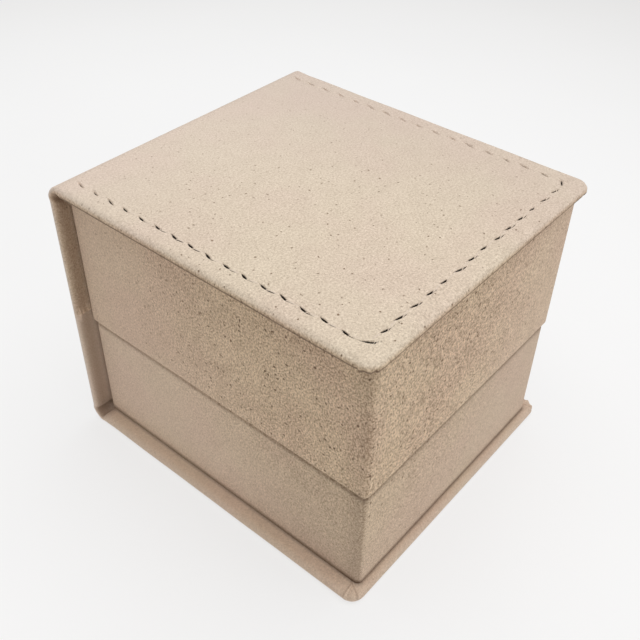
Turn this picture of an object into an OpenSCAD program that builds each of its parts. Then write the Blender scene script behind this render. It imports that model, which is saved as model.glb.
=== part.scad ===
// Suede ring box: a book-style cover of three wrapped boards with two cloth folds at the back,
// a lid tray under the top board, a base tray on the bottom board, and a lift-out ring cushion.
// Millimetres, +Z up. X runs side to side, the spine is at +Y, and the origin is the middle of
// the underside's bounding rectangle.

/* [Cover] */
// Width of the cover, side to side
cover_w = 60; // [52:0.5:72]
// Depth of the closed box, front edge to the spine's outer face
cover_d = 67; // [58:0.5:80]
// Height of the closed box
cover_h = 54.4; // [46:0.2:64]
// Thickness of a wrapped board, suede on both faces included
panel_t = 2.2; // [1.8:0.1:2.4]
// Radius of the front corners, seen from above
corner_r = 2.5; // [2:0.1:4]
// Thickness of the suede
suede_t = 0.5; // [0.4:0.05:0.6]
// Width of the suede turned in over a board's inner face
turn_in_w = 6; // [4:0.5:9]
// Gap between the spine and the trays
spine_gap = 0.3; // [0.3:0.1:0.8]
// Outer radius of the two folds at the back
fold_r = 3.6; // [3:0.1:4.5]
// Thickness of the doubled suede at the two folds
fold_t = 1.2; // [0.8:0.1:1.4]

/* [Trays] */
// How far the cover stands out past the lid tray at each side
side_lip = 2.5; // [1.5:0.1:3.5]
// How far the cover stands out past the lid tray at the front
front_lip = 1.1; // [0.8:0.1:3]
// Height of the line where the lid's rim meets the base's rim
split_h = 24.8; // [21:0.2:28]
// How far the base tray's faces stand inside the lid tray's faces
base_inset = 0.4; // [0.2:0.1:0.9]
// Thickness of the trays' board
board_t = 1.5; // [1.2:0.1:2]
// Thickness of the cloth that lines the trays
lining_t = 0.5; // [0.3:0.1:0.8]
// Radius of the trays' upright corners
tray_r = 1.2; // [1.2:0.1:1.6]
// Clearance between the two rims
rim_gap = 0.1; // [0.05:0.05:0.2]
// Depth of the suede turned over each rim
rim_turn_in = 3; // [2:0.5:5]
// Thickness of the pad in the lid
lid_pad_t = 3; // [2:0.5:5]

/* [Cushion] */
// Height of the cushion's crest above the ground
crest_h = 19.8; // [17.5:0.1:19.8]
// Thickness of the card under the cushion
card_t = 1.2; // [1:0.1:1.6]
// Play between the soft pieces and the lining
cushion_play = 0.3; // [0.25:0.05:0.5]
// Width of the slot that grips the ring
slot_w = 0.4; // [0.3:0.1:0.8]
// Radius of the rolls' top edges
roll_r = 7; // [4:0.5:9]

/* [Stitching] */
// Inset of the stitching from the top board's edges
stitch_inset = 3.5; // [3.2:0.1:5]
// Length of one stitch, hole to hole, before rounding to a whole number of stitches
stitch_pitch = 3.6; // [3:0.1:4]
// Bare stretch between the last hole and the spine's outer face
stitch_tail = 5.1; // [4.6:0.1:7]
// Length of each needle hole
hole_l = 0.7; // [0.5:0.1:1]
// Width of the thread
thread_w = 0.5; // [0.4:0.05:0.6]
// Thickness of the thread
thread_t = 0.25; // [0.2:0.05:0.3]
// Width of the groove that the thread sinks into
groove_w = 0.7; // [0.7:0.05:0.9]

/* [Magnets] */
// Length of each closing magnet, along the front
magnet_l = 10; // [6:1:14]
// Height of each closing magnet
magnet_h = 4; // [3:0.5:5]

/* [Hidden] */
$fn = 48;

panel_d = cover_d - fold_r;
front_y = -cover_d / 2;
spine_y = cover_d / 2 - panel_t;
panel_board_t = panel_t - 2 * suede_t;

lid_w = cover_w - 2 * side_lip;
lid_front_y = front_y + front_lip;
lid_back_y = spine_y - spine_gap;
lid_d = lid_back_y - lid_front_y;
lid_h = cover_h - panel_t - split_h;
lid_mid_y = (lid_front_y + lid_back_y) / 2;

base_w = lid_w - 2 * base_inset;
base_d = lid_d - 2 * base_inset;
base_h = split_h - rim_gap - panel_t;

shell_t = suede_t + board_t;
wall_t = shell_t + lining_t;
well_w = base_w - 2 * wall_t;
well_d = base_d - 2 * wall_t;
floor_top_h = panel_t + board_t;

card_top_h = floor_top_h + card_t;
roll_h = crest_h - card_top_h;
roll_w = well_w - 2 * cushion_play;
roll_d = (well_d - 2 * cushion_play - slot_w) / 2;

stitch_front = cover_w - 2 * stitch_inset;
stitch_side = cover_d - stitch_inset - stitch_tail;
front_stitches = round(stitch_front / stitch_pitch);
side_stitches = round(stitch_side / stitch_pitch);

suede_tone = [0.84, 0.77, 0.69];
shade_tone = [0.72, 0.64, 0.56];
thread_tone = [0.79, 0.71, 0.62];
board_tone = [0.62, 0.59, 0.55];
lining_tone = [0.88, 0.83, 0.76];
magnet_tone = [0.75, 0.75, 0.77];

// A rectangle with round corners, centred on the origin.
module round_rect(w, d, r) {
  square([w - 2 * r, d], center = true);
  square([w, d - 2 * r], center = true);
  for (x = [-1, 1], y = [-1, 1]) {
    translate([x * (w / 2 - r), y * (d / 2 - r)]) circle(r);
  }
}

// A bar's section, w wide and t thick, with both ends fully round.
module stadium(w, t) {
  square([w - t, t], center = true);
  for (x = [-1, 1]) {
    translate([x * (w - t) / 2, 0]) circle(t / 2);
  }
}

// A block centred in X and Y that stands on the plane z = 0.
module block(w, d, h) {
  translate([-w / 2, -d / 2, 0]) cube([w, d, h]);
}

// Extrudes a section drawn in the Y-Z plane along X, centred.
module along_x(length) {
  rotate([90, 0, 90]) linear_extrude(length, center = true) children();
}

// Outline of a cover board: square at the back, round corners at the front edge y = 0.
module panel_outline(w, d, r) {
  translate([-w / 2, r]) square([w, d - r]);
  translate([-w / 2 + r, 0]) square([w - 2 * r, r]);
  for (x = [-1, 1]) {
    translate([x * (w / 2 - r), r]) circle(r);
  }
}

// The outside of a wrapped cover board: fully round edges at the front and both sides, its front
// edge on y = 0 and its back end cut square for the fold.
module soft_panel(w, d, t, r) {
  translate([0, d, t / 2]) rotate([90, 0, 0]) linear_extrude(d - r) stadium(w, t);
  along_x(w - 2 * r) {
    translate([t / 2, t / 2]) circle(t / 2);
    translate([t / 2, 0]) square([r - t / 2, t]);
  }
  for (side = [-1, 1]) {
    translate([side * (w / 2 - r), r, 0])
      rotate([0, 0, side > 0 ? -90 : 180])
        rotate_extrude(angle = 90) {
          square([r - t / 2, t]);
          translate([r - t / 2, t / 2]) circle(t / 2);
        }
  }
}

// The stiff board inside a cover panel.
module panel_board() {
  translate([0, suede_t, suede_t])
    linear_extrude(panel_board_t)
      panel_outline(cover_w - 2 * suede_t, panel_d - suede_t, corner_r - suede_t);
}

// The sheet on the inner face, which covers the board between the turned-in edges.
module panel_liner() {
  translate([-cover_w / 2 + turn_in_w, turn_in_w, 0])
    cube([cover_w - 2 * turn_in_w, panel_d - turn_in_w, suede_t]);
}

// The suede of a cover panel, with the inner face down: folded over three edges of the board.
module panel_suede() {
  difference() {
    soft_panel(cover_w, panel_d, panel_t, corner_r);
    panel_board();
    panel_liner();
  }
}

// Puts a panel drawn with its inner face down at the top of the box.
module at_top() {
  translate([0, front_y, cover_h - panel_t]) children();
}

// Puts a panel drawn with its inner face down at the bottom of the box, inner face up.
module at_bottom() {
  translate([0, front_y, panel_t]) mirror([0, 0, 1]) children();
}

// Quarter ring of suede round the corner between a panel and the spine.
module fold_arc() {
  along_x(cover_w)
    difference() {
      intersection() {
        circle(fold_r);
        square(fold_r);
      }
      circle(fold_r - fold_t);
    }
}

// Centre lines of the stitching on the top panel: the front run, then the two side runs.
module stitch_runs() {
  translate([-stitch_front / 2, stitch_inset, 0])
    children(0);
  for (side = [-1, 1]) {
    translate([side * stitch_front / 2, stitch_inset, 0]) rotate([0, 0, 90]) children(1);
  }
}

// A straight groove that starts at the origin and runs along +X.
module groove(length) {
  translate([-groove_w / 2, -groove_w / 2, panel_t - thread_t])
    cube([length + groove_w, groove_w, thread_t + 1]);
}

// A run of stitches along +X, with a needle hole between each two.
module stitches(count, length) {
  pitch = length / count;
  for (i = [0 : count - 1]) {
    translate([i * pitch + hole_l / 2, -thread_w / 2, panel_t - thread_t])
      cube([pitch - hole_l, thread_w, thread_t]);
  }
}

// The four wall boards of a tray stand on its floor board, inside the suede.
module long_wall(w, d, h, side) {
  translate([0, side * (d - 2 * suede_t - board_t) / 2, board_t])
    block(w - 2 * suede_t, board_t, h - board_t - suede_t);
}

module short_wall(w, d, h, side) {
  translate([side * (w - 2 * suede_t - board_t) / 2, 0, board_t])
    block(board_t, d - 2 * shell_t, h - board_t - suede_t);
}

// The magnet fills a notch in the rim of the front wall board.
module rim_magnet(d, h) {
  translate([0, -(d - 2 * suede_t - board_t) / 2, h - suede_t - magnet_h])
    block(magnet_l, board_t, magnet_h);
}

module front_wall(w, d, h) {
  difference() {
    long_wall(w, d, h, -1);
    rim_magnet(d, h);
  }
}

module tray_board(w, d) {
  block(w - 2 * suede_t, d - 2 * suede_t, board_t);
}

// Suede round the outside of a tray, over the rim and a little way down the inside.
module tray_wrap(w, d, h) {
  difference() {
    linear_extrude(h) round_rect(w, d, tray_r);
    translate([0, 0, -1]) block(w - 2 * wall_t, d - 2 * wall_t, h + 2);
    difference() {
      translate([0, 0, -1]) block(w - 2 * suede_t, d - 2 * suede_t, h - suede_t + 1);
      translate([0, 0, h - suede_t - rim_turn_in])
        block(w - 2 * shell_t, d - 2 * shell_t, rim_turn_in + 1);
    }
  }
}

// Cloth on the inside of the four walls, up to the turned-in suede.
module tray_lining(w, d, h) {
  lining_h = h - board_t - suede_t - rim_turn_in;
  translate([0, 0, board_t])
    difference() {
      block(w - 2 * shell_t, d - 2 * shell_t, lining_h);
      translate([0, 0, -1]) block(w - 2 * wall_t, d - 2 * wall_t, lining_h + 2);
    }
}

// A tray is drawn upright with its floor on z = 0; the lid's hangs upside down from the top panel.
module in_lid() {
  translate([0, lid_mid_y, cover_h - panel_t]) mirror([0, 0, 1]) children();
}

module in_base() {
  translate([0, lid_mid_y, panel_t]) children();
}

// One half of the ring cushion: a padded roll with a crowned top.
module cushion_roll() {
  along_x(roll_w) {
    square([roll_d, roll_h - roll_r]);
    translate([roll_r, 0]) square([roll_d - 2 * roll_r, roll_h]);
    for (y = [roll_r, roll_d - roll_r]) {
      translate([y, roll_h - roll_r]) circle(roll_r);
    }
  }
}

module top_board() { color(board_tone) at_top() panel_board(); }
module top_liner() { color(board_tone) at_top() panel_liner(); }

module top_suede() {
  color(suede_tone) at_top()
    difference() {
      panel_suede();
      stitch_runs() {
        groove(stitch_front);
        groove(stitch_side);
      }
    }
}

module top_thread() {
  color(thread_tone) at_top()
    stitch_runs() {
      stitches(front_stitches, stitch_front);
      stitches(side_stitches, stitch_side);
    }
}

module top_fold() {
  color(suede_tone) translate([0, cover_d / 2 - fold_r, cover_h - fold_r]) fold_arc();
}

module spine_board() {
  color(board_tone) translate([0, spine_y + suede_t, fold_r])
    translate([-cover_w / 2 + suede_t, 0, 0])
      cube([cover_w - 2 * suede_t, panel_board_t, cover_h - 2 * fold_r]);
}

module spine_lining() {
  color(lining_tone) translate([-cover_w / 2 + turn_in_w, spine_y, fold_r])
    cube([cover_w - 2 * turn_in_w, suede_t, cover_h - 2 * fold_r]);
}

module spine_suede() {
  color(shade_tone)
    difference() {
      translate([0, cover_d / 2 - panel_t / 2, fold_r])
        linear_extrude(cover_h - 2 * fold_r) stadium(cover_w, panel_t);
      spine_board();
      spine_lining();
    }
}

module bottom_board() { color(board_tone) at_bottom() panel_board(); }
module bottom_liner() { color(board_tone) at_bottom() panel_liner(); }
module bottom_suede() { color(suede_tone) at_bottom() panel_suede(); }

module bottom_fold() {
  color(suede_tone) translate([0, cover_d / 2 - fold_r, fold_r]) mirror([0, 0, 1]) fold_arc();
}

module lid_roof() { color(board_tone) in_lid() tray_board(lid_w, lid_d); }
module lid_front_wall() { color(board_tone) in_lid() front_wall(lid_w, lid_d, lid_h); }
module lid_back_wall() { color(board_tone) in_lid() long_wall(lid_w, lid_d, lid_h, 1); }
module lid_left_wall() { color(board_tone) in_lid() short_wall(lid_w, lid_d, lid_h, -1); }
module lid_right_wall() { color(board_tone) in_lid() short_wall(lid_w, lid_d, lid_h, 1); }
module lid_wrap() { color(suede_tone) in_lid() tray_wrap(lid_w, lid_d, lid_h); }
module lid_lining() { color(lining_tone) in_lid() tray_lining(lid_w, lid_d, lid_h); }
module lid_magnet() { color(magnet_tone) in_lid() rim_magnet(lid_d, lid_h); }

module lid_pad() {
  pad_w = lid_w - 2 * wall_t - 2 * cushion_play;
  pad_d = lid_d - 2 * wall_t - 2 * cushion_play;
  color(lining_tone) in_lid() translate([0, 0, board_t])
    linear_extrude(lid_pad_t) round_rect(pad_w, pad_d, lid_pad_t / 2);
}

module base_floor() { color(board_tone) in_base() tray_board(base_w, base_d); }
module base_front_wall() { color(board_tone) in_base() front_wall(base_w, base_d, base_h); }
module base_back_wall() { color(board_tone) in_base() long_wall(base_w, base_d, base_h, 1); }
module base_left_wall() { color(board_tone) in_base() short_wall(base_w, base_d, base_h, -1); }
module base_right_wall() { color(board_tone) in_base() short_wall(base_w, base_d, base_h, 1); }
module base_wrap() { color(suede_tone) in_base() tray_wrap(base_w, base_d, base_h); }
module base_lining() { color(lining_tone) in_base() tray_lining(base_w, base_d, base_h); }
module base_magnet() { color(magnet_tone) in_base() rim_magnet(base_d, base_h); }

module cushion_card() {
  color(board_tone) translate([0, lid_mid_y, floor_top_h])
    block(roll_w, well_d - 2 * cushion_play, card_t);
}

module cushion_front_roll() {
  color(lining_tone) translate([0, lid_mid_y - slot_w / 2 - roll_d, card_top_h]) cushion_roll();
}

module cushion_back_roll() {
  color(lining_tone) translate([0, lid_mid_y + slot_w / 2, card_top_h]) cushion_roll();
}

top_board();
top_liner();
top_suede();
top_thread();
top_fold();
spine_board();
spine_lining();
spine_suede();
bottom_board();
bottom_liner();
bottom_suede();
bottom_fold();
lid_roof();
lid_front_wall();
lid_back_wall();
lid_left_wall();
lid_right_wall();
lid_wrap();
lid_lining();
lid_pad();
lid_magnet();
base_floor();
base_front_wall();
base_back_wall();
base_left_wall();
base_right_wall();
base_wrap();
base_lining();
base_magnet();
cushion_card();
cushion_front_roll();
cushion_back_roll();
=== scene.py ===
import math
import bmesh
import bpy
import numpy as np
from mathutils import Matrix, Vector


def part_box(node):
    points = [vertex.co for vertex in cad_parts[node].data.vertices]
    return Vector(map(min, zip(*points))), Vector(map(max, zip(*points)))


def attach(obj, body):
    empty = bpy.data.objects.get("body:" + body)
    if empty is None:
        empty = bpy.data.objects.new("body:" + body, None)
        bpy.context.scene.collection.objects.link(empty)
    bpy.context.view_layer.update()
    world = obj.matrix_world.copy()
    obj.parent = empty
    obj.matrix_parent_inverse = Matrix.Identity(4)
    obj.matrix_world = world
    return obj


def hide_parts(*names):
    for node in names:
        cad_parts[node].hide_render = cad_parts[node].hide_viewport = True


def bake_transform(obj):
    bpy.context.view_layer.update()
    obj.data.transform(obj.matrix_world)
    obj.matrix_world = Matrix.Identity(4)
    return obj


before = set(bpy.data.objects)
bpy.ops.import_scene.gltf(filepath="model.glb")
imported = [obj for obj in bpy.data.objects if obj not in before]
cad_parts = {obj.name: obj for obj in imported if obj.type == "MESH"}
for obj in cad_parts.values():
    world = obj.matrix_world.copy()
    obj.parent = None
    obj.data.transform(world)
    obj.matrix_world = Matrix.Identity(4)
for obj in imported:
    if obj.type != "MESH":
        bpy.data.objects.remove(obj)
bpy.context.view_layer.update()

mm = 0.001
samePlace = 0.002 * mm  # points nearer than this are one point
noLength = 0.0001 * mm
scene = bpy.context.scene


def smooth(t):  # 0 below 0, 1 above 1, and an S curve between
    t = np.clip(t, 0.0, 1.0)
    return t * t * (3 - 2 * t)


def along(a, b, t):  # a at t 0, b at t 1
    return a + (b - a) * t


def grow(*parts):  # stations in order, each once
    return np.unique(np.round(np.concatenate([np.atleast_1d(p) for p in parts]), 9))


def swell(place, size, seed):
    # a slow, even unevenness from -1 to 1: five sine waves in seeded directions, each size long
    draw = np.random.default_rng(seed)
    total = np.zeros(place.shape[:-1])
    for _ in range(5):
        way = draw.normal(size=3)
        way *= 2 * math.pi / (size * np.linalg.norm(way) * draw.uniform(0.7, 1.4))
        total += np.sin(place @ way + draw.uniform(0, 2 * math.pi))
    return total / 5


def makePiece(name, grids, facing=None, sharpFrom=50, values=None):
    # each grid is rows x columns x 3, neighbours share a quad, and points in the same place become one
    points, faces, start = [], [], 0
    for grid in grids:
        rows, columns = grid.shape[:2]
        index = np.arange(rows * columns).reshape(rows, columns) + start
        corners = index[:-1, :-1], index[1:, :-1], index[1:, 1:], index[:-1, 1:]
        faces.append(np.stack(corners, -1).reshape(-1, 4))
        points.append(grid.reshape(-1, 3))
        start += rows * columns
    points, faces = np.concatenate(points), np.concatenate(faces)
    mesh = bpy.data.meshes.new(name)
    mesh.vertices.add(len(points))
    mesh.vertices.foreach_set("co", points.astype(np.float32).ravel())
    mesh.loops.add(faces.size)
    mesh.loops.foreach_set("vertex_index", faces.astype(np.int32).ravel())
    mesh.polygons.add(len(faces))
    mesh.polygons.foreach_set("loop_start", np.arange(0, faces.size, 4, dtype=np.int32))
    mesh.update(calc_edges=True)
    for key, value in (values or {}).items():
        stored = mesh.attributes.new(key, "FLOAT", "POINT")
        stored.data.foreach_set("value", value.astype(np.float32).ravel())
    tidy = bmesh.new()
    tidy.from_mesh(mesh)
    bmesh.ops.remove_doubles(tidy, verts=tidy.verts, dist=samePlace)
    bmesh.ops.dissolve_degenerate(tidy, edges=tidy.edges, dist=noLength)
    bmesh.ops.recalc_face_normals(tidy, faces=tidy.faces)
    tidy.to_mesh(mesh)
    tidy.free()
    return finishPiece(name, mesh, facing, sharpFrom)


def finishPiece(name, mesh, facing=None, sharpFrom=50):
    # facing is a direction that the face lying furthest along it looks in, for a sheet that isn't closed
    if facing is not None:
        way = Vector(facing)
        furthest = max(mesh.polygons, key=lambda p: p.center.dot(way))
        if furthest.normal.dot(way) < 0:
            mesh.flip_normals()
    mesh.polygons.foreach_set("use_smooth", np.ones(len(mesh.polygons), bool))
    mesh.set_sharp_from_angle(angle=math.radians(sharpFrom))
    piece = bpy.data.objects.new(name, mesh)
    scene.collection.objects.link(piece)
    return piece


def pointsOf(piece):
    spots = np.zeros(len(piece.data.vertices) * 3)
    piece.data.vertices.foreach_get("co", spots)
    return spots.reshape(-1, 3)


def setPoints(piece, spots):
    piece.data.vertices.foreach_set("co", spots.astype(np.float32).ravel())
    piece.data.update()


def rememberPlace(piece):
    # every point's place at rest, which the finish reads, so the nap doesn't slide when the fabric bends
    stored = piece.data.attributes.new("restPlace", "FLOAT_VECTOR", "POINT")
    stored.data.foreach_set("vector", pointsOf(piece).astype(np.float32).ravel())


def applyAll(piece):  # the mesh with its modifiers worked in, and none left on it
    evaluated = piece.evaluated_get(bpy.context.evaluated_depsgraph_get())
    worked = bpy.data.meshes.new_from_object(evaluated)
    piece.modifiers.clear()
    piece.data = worked
    return piece


def dress(piece, finish, slot, *stands):
    # the piece's finish, its slot (not used), and the frame's nodes that it stands for
    piece.data.materials.clear()
    piece.data.materials.append(finish)
    if stands:
        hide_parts(*stands)
    return piece


def span(node):  # a node's low and high corners in metres, as arrays
    low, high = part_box(node)
    return np.array(low), np.array(high)


camera = {
    "target": (0, 0, 27.2 * mm),
    "azimuth": -50.777, "elevation": 40.237, "roll": 1.337,
    "distance": 158.617 * mm, "slideRight": 0.23 * mm, "slideUp": -1.855 * mm,
    "lens": 48.62,
}


def placeCamera():
    azimuth, elevation, roll = (math.radians(camera[k]) for k in ("azimuth", "elevation", "roll"))
    back = Vector((math.sin(azimuth) * math.cos(elevation), -math.cos(azimuth) * math.cos(elevation),
                   math.sin(elevation)))
    level = Vector((math.cos(azimuth), math.sin(azimuth), 0))
    upright = back.cross(level)
    right = level * math.cos(roll) + upright * math.sin(roll)
    up = upright * math.cos(roll) - level * math.sin(roll)
    data = bpy.data.cameras.new("studioCamera")
    data.sensor_width = 36
    data.lens = camera["lens"]
    data.clip_start, data.clip_end = 0.01, 10
    eye = bpy.data.objects.new("studioCamera", data)
    scene.collection.objects.link(eye)
    spot = Vector(camera["target"]) + back * camera["distance"]
    spot += right * camera["slideRight"] + up * camera["slideUp"]
    eye.matrix_world = Matrix.Translation(spot) @ Matrix((right, up, back)).transposed().to_4x4()
    scene.camera = eye


light = {
    "sky": (0.92, 0.87, 0.82), "skyStrength": 0.40,
    "top": {"place": (0.05, -0.02, 0.55), "size": 0.6, "power": 2.47, "tint": (0.985, 0.99, 1.0)},
    "front": {"place": (0.10, -0.53, 0.22), "size": 0.4, "power": 0.33, "tint": (0.97, 0.98, 1.0)},
}


def softbox(name, place, size, power, tint):  # a square light that faces the middle of the box
    data = bpy.data.lights.new(name, "AREA")
    data.shape, data.size, data.energy, data.color = "SQUARE", size, power, tint
    lamp = bpy.data.objects.new(name, data)
    scene.collection.objects.link(lamp)
    lamp.location = place
    lamp.rotation_mode = "QUATERNION"
    lamp.rotation_quaternion = (Vector(camera["target"]) - Vector(place)).to_track_quat("-Z", "Y")


def lightStudio():
    scene.view_settings.view_transform = "Standard"
    world = bpy.data.worlds.new("studioSky")
    scene.world = world
    world.use_nodes = True
    sky = world.node_tree.nodes["Background"]
    sky.inputs["Color"].default_value = (*light["sky"], 1)
    sky.inputs["Strength"].default_value = light["skyStrength"]
    softbox("topLight", **light["top"])
    softbox("frontLight", **light["front"])


placeCamera()
lightStudio()
print("camera and lights placed")


class Wire:
    # one socket that sums can be written with: each operator adds its Math node
    def __init__(self, bench, socket):
        self.bench, self.socket = bench, socket

    def sum(self, operation, *others):
        return self.bench.sum(operation, self, *others)

    def __add__(self, other):
        return self.sum("ADD", other)

    def __radd__(self, other):
        return self.bench.sum("ADD", other, self)

    def __sub__(self, other):
        return self.sum("SUBTRACT", other)

    def __rsub__(self, other):
        return self.bench.sum("SUBTRACT", other, self)

    def __mul__(self, other):
        return self.sum("MULTIPLY", other)

    def __rmul__(self, other):
        return self.bench.sum("MULTIPLY", other, self)

    def __truediv__(self, other):
        return self.sum("DIVIDE", other)

    def __pow__(self, other):
        return self.sum("POWER", other)


surfaceSockets = {
    "colour": "Base Color", "roughness": "Roughness", "metallic": "Metallic", "normal": "Normal",
    "sheen": "Sheen Weight", "sheenRoughness": "Sheen Roughness", "sheenTint": "Sheen Tint",
    "glow": "Emission Color", "glowStrength": "Emission Strength", "gloss": "Specular IOR Level",
}


class Bench:
    # one finish and the nodes it is made of
    def __init__(self, name):
        self.finish = bpy.data.materials.new(name)
        self.finish.use_nodes = True
        self.tree = self.finish.node_tree
        self.tree.nodes.clear()

    def add(self, kind, settings=None, sockets=None, out=0):
        node = self.tree.nodes.new(kind)
        for key, value in (settings or {}).items():
            setattr(node, key, value)
        for key, value in (sockets or {}).items():
            if isinstance(value, Wire):
                self.tree.links.new(value.socket, node.inputs[key])
            else:
                node.inputs[key].default_value = value
        return Wire(self, node.outputs[out]) if len(node.outputs) else None

    def sum(self, operation, *terms):
        return self.add("ShaderNodeMath", {"operation": operation}, dict(enumerate(terms)))

    def place(self):  # where a point of the object is
        return self.add("ShaderNodeTexCoord", out="Object")

    def stored(self, attribute, out="Fac"):  # what the mesh holds under that name
        return self.add("ShaderNodeAttribute", {"attribute_name": attribute}, out=out)

    def distance(self, place, centre):
        return self.add("ShaderNodeVectorMath", {"operation": "DISTANCE"}, {0: place, 1: centre}, out=1)

    def stretch(self, place, scale, turn=(0, 0, 0)):
        return self.add("ShaderNodeMapping", None, {"Vector": place, "Scale": scale, "Rotation": turn})

    def noise(self, place, size, detail=2, rough=0.5, lean=0.0):  # 0 to 1, in lumps of that size in metres
        return self.add("ShaderNodeTexNoise", None, {
            "Vector": place, "Scale": 1 / size, "Detail": detail, "Roughness": rough, "Distortion": lean})

    def step(self, value, low, high):  # 0 at low, 1 at high, an S curve between
        return self.add("ShaderNodeMapRange", {"interpolation_type": "SMOOTHSTEP", "clamp": True}, {
            "Value": value, "From Min": low, "From Max": high, "To Min": 0.0, "To Max": 1.0})

    def mix(self, a, b, share, kind="MIX"):  # two colours
        colours = {6: a if isinstance(a, Wire) else (*a, 1), 7: b if isinstance(b, Wire) else (*b, 1)}
        settings = {"data_type": "RGBA", "blend_type": kind, "clamp_factor": True}
        return self.add("ShaderNodeMix", settings, {0: share, **colours}, out=2)

    def relief(self, height, depth=1.0):  # height in millimetres
        return self.add("ShaderNodeBump", None, {"Height": height, "Distance": mm, "Strength": depth})

    def close(self, **values):  # the surface itself
        sockets = {surfaceSockets[key]: value for key, value in values.items()}
        surface = self.add("ShaderNodeBsdfPrincipled", None, sockets, out="BSDF")
        self.add("ShaderNodeOutputMaterial", None, {"Surface": surface})
        return self.finish


# faceTone, the paler tone of the cover's outer faces, is painted light; trayTone, darker and browner, is
# partly the shade that upright sides and edges get, painted in
suedeLook = {
    "faceTone": (0.722, 0.616, 0.520), "trayTone": (0.655, 0.497, 0.360),
    "lump": 16 * mm, "cloud": 3.2 * mm, "grain": 0.34 * mm, "fibre": 0.17 * mm,
    "pit": 1.05 * mm, "pitStray": 0.55 * mm, "pitStraySize": 0.5 * mm, "pitDark": 0.85,
    "cloudDepth": 0.16, "pitDepth": 0.16, "grainDepth": 0.17, "fibreDepth": 0.08,
    "sheen": 0.14, "sheenTint": (1.0, 0.93, 0.84, 1), "slitTone": (0.012, 0.007, 0.005),
    "held": (-28 * mm, -33 * mm, 50 * mm), "heldRadius": 20 * mm, "heldTint": (0.985, 0.975, 0.93),
    "restTint": (0.985, 0.99, 1.015), "dyes": ((1.012, 0.993, 1.0), (0.993, 1.003, 0.982)),
    "calm": 0.38,  # the share of its roughness that the nap keeps where nobody holds it
}
# a pit's soft edge in parts of its cell, and how quickly pits fade away from the held corner
pitLook = {
    "cover": {"low": 0.07, "high": 0.20, "fade": 1.2},
    "tray": {"low": 0.10, "high": 0.25, "fade": 0.6},
}


def tinted(tone, *shares):
    return tuple(min(1.0, c * k) for c, k in zip(tone, shares))


def pitMask(bench, place, share, look):
    # 1 in the middle of the pits: a share of the cells of a scattered pattern, strayed by a noise
    noise = bench.add("ShaderNodeTexNoise", None,
                      {"Vector": place, "Scale": 1 / suedeLook["pitStraySize"], "Detail": 2.0}, out=1)
    strayed = bench.add("ShaderNodeVectorMath", {"operation": "MULTIPLY_ADD"},
                        {0: noise, 1: (suedeLook["pitStray"],) * 3, 2: place})
    sockets = {"Vector": strayed, "Scale": 1 / suedeLook["pit"], "Randomness": 1.0}
    away = bench.add("ShaderNodeTexVoronoi", {"feature": "F1"}, sockets)
    drawn = bench.add("ShaderNodeTexVoronoi", {"feature": "F1"}, sockets, out=1)
    draw = bench.add("ShaderNodeSeparateColor", None, {"Color": drawn}, out=0)
    return (1 - bench.step(away, look["low"], look["high"])) * bench.step(draw, 1 - share, 1.3 - share)


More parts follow.
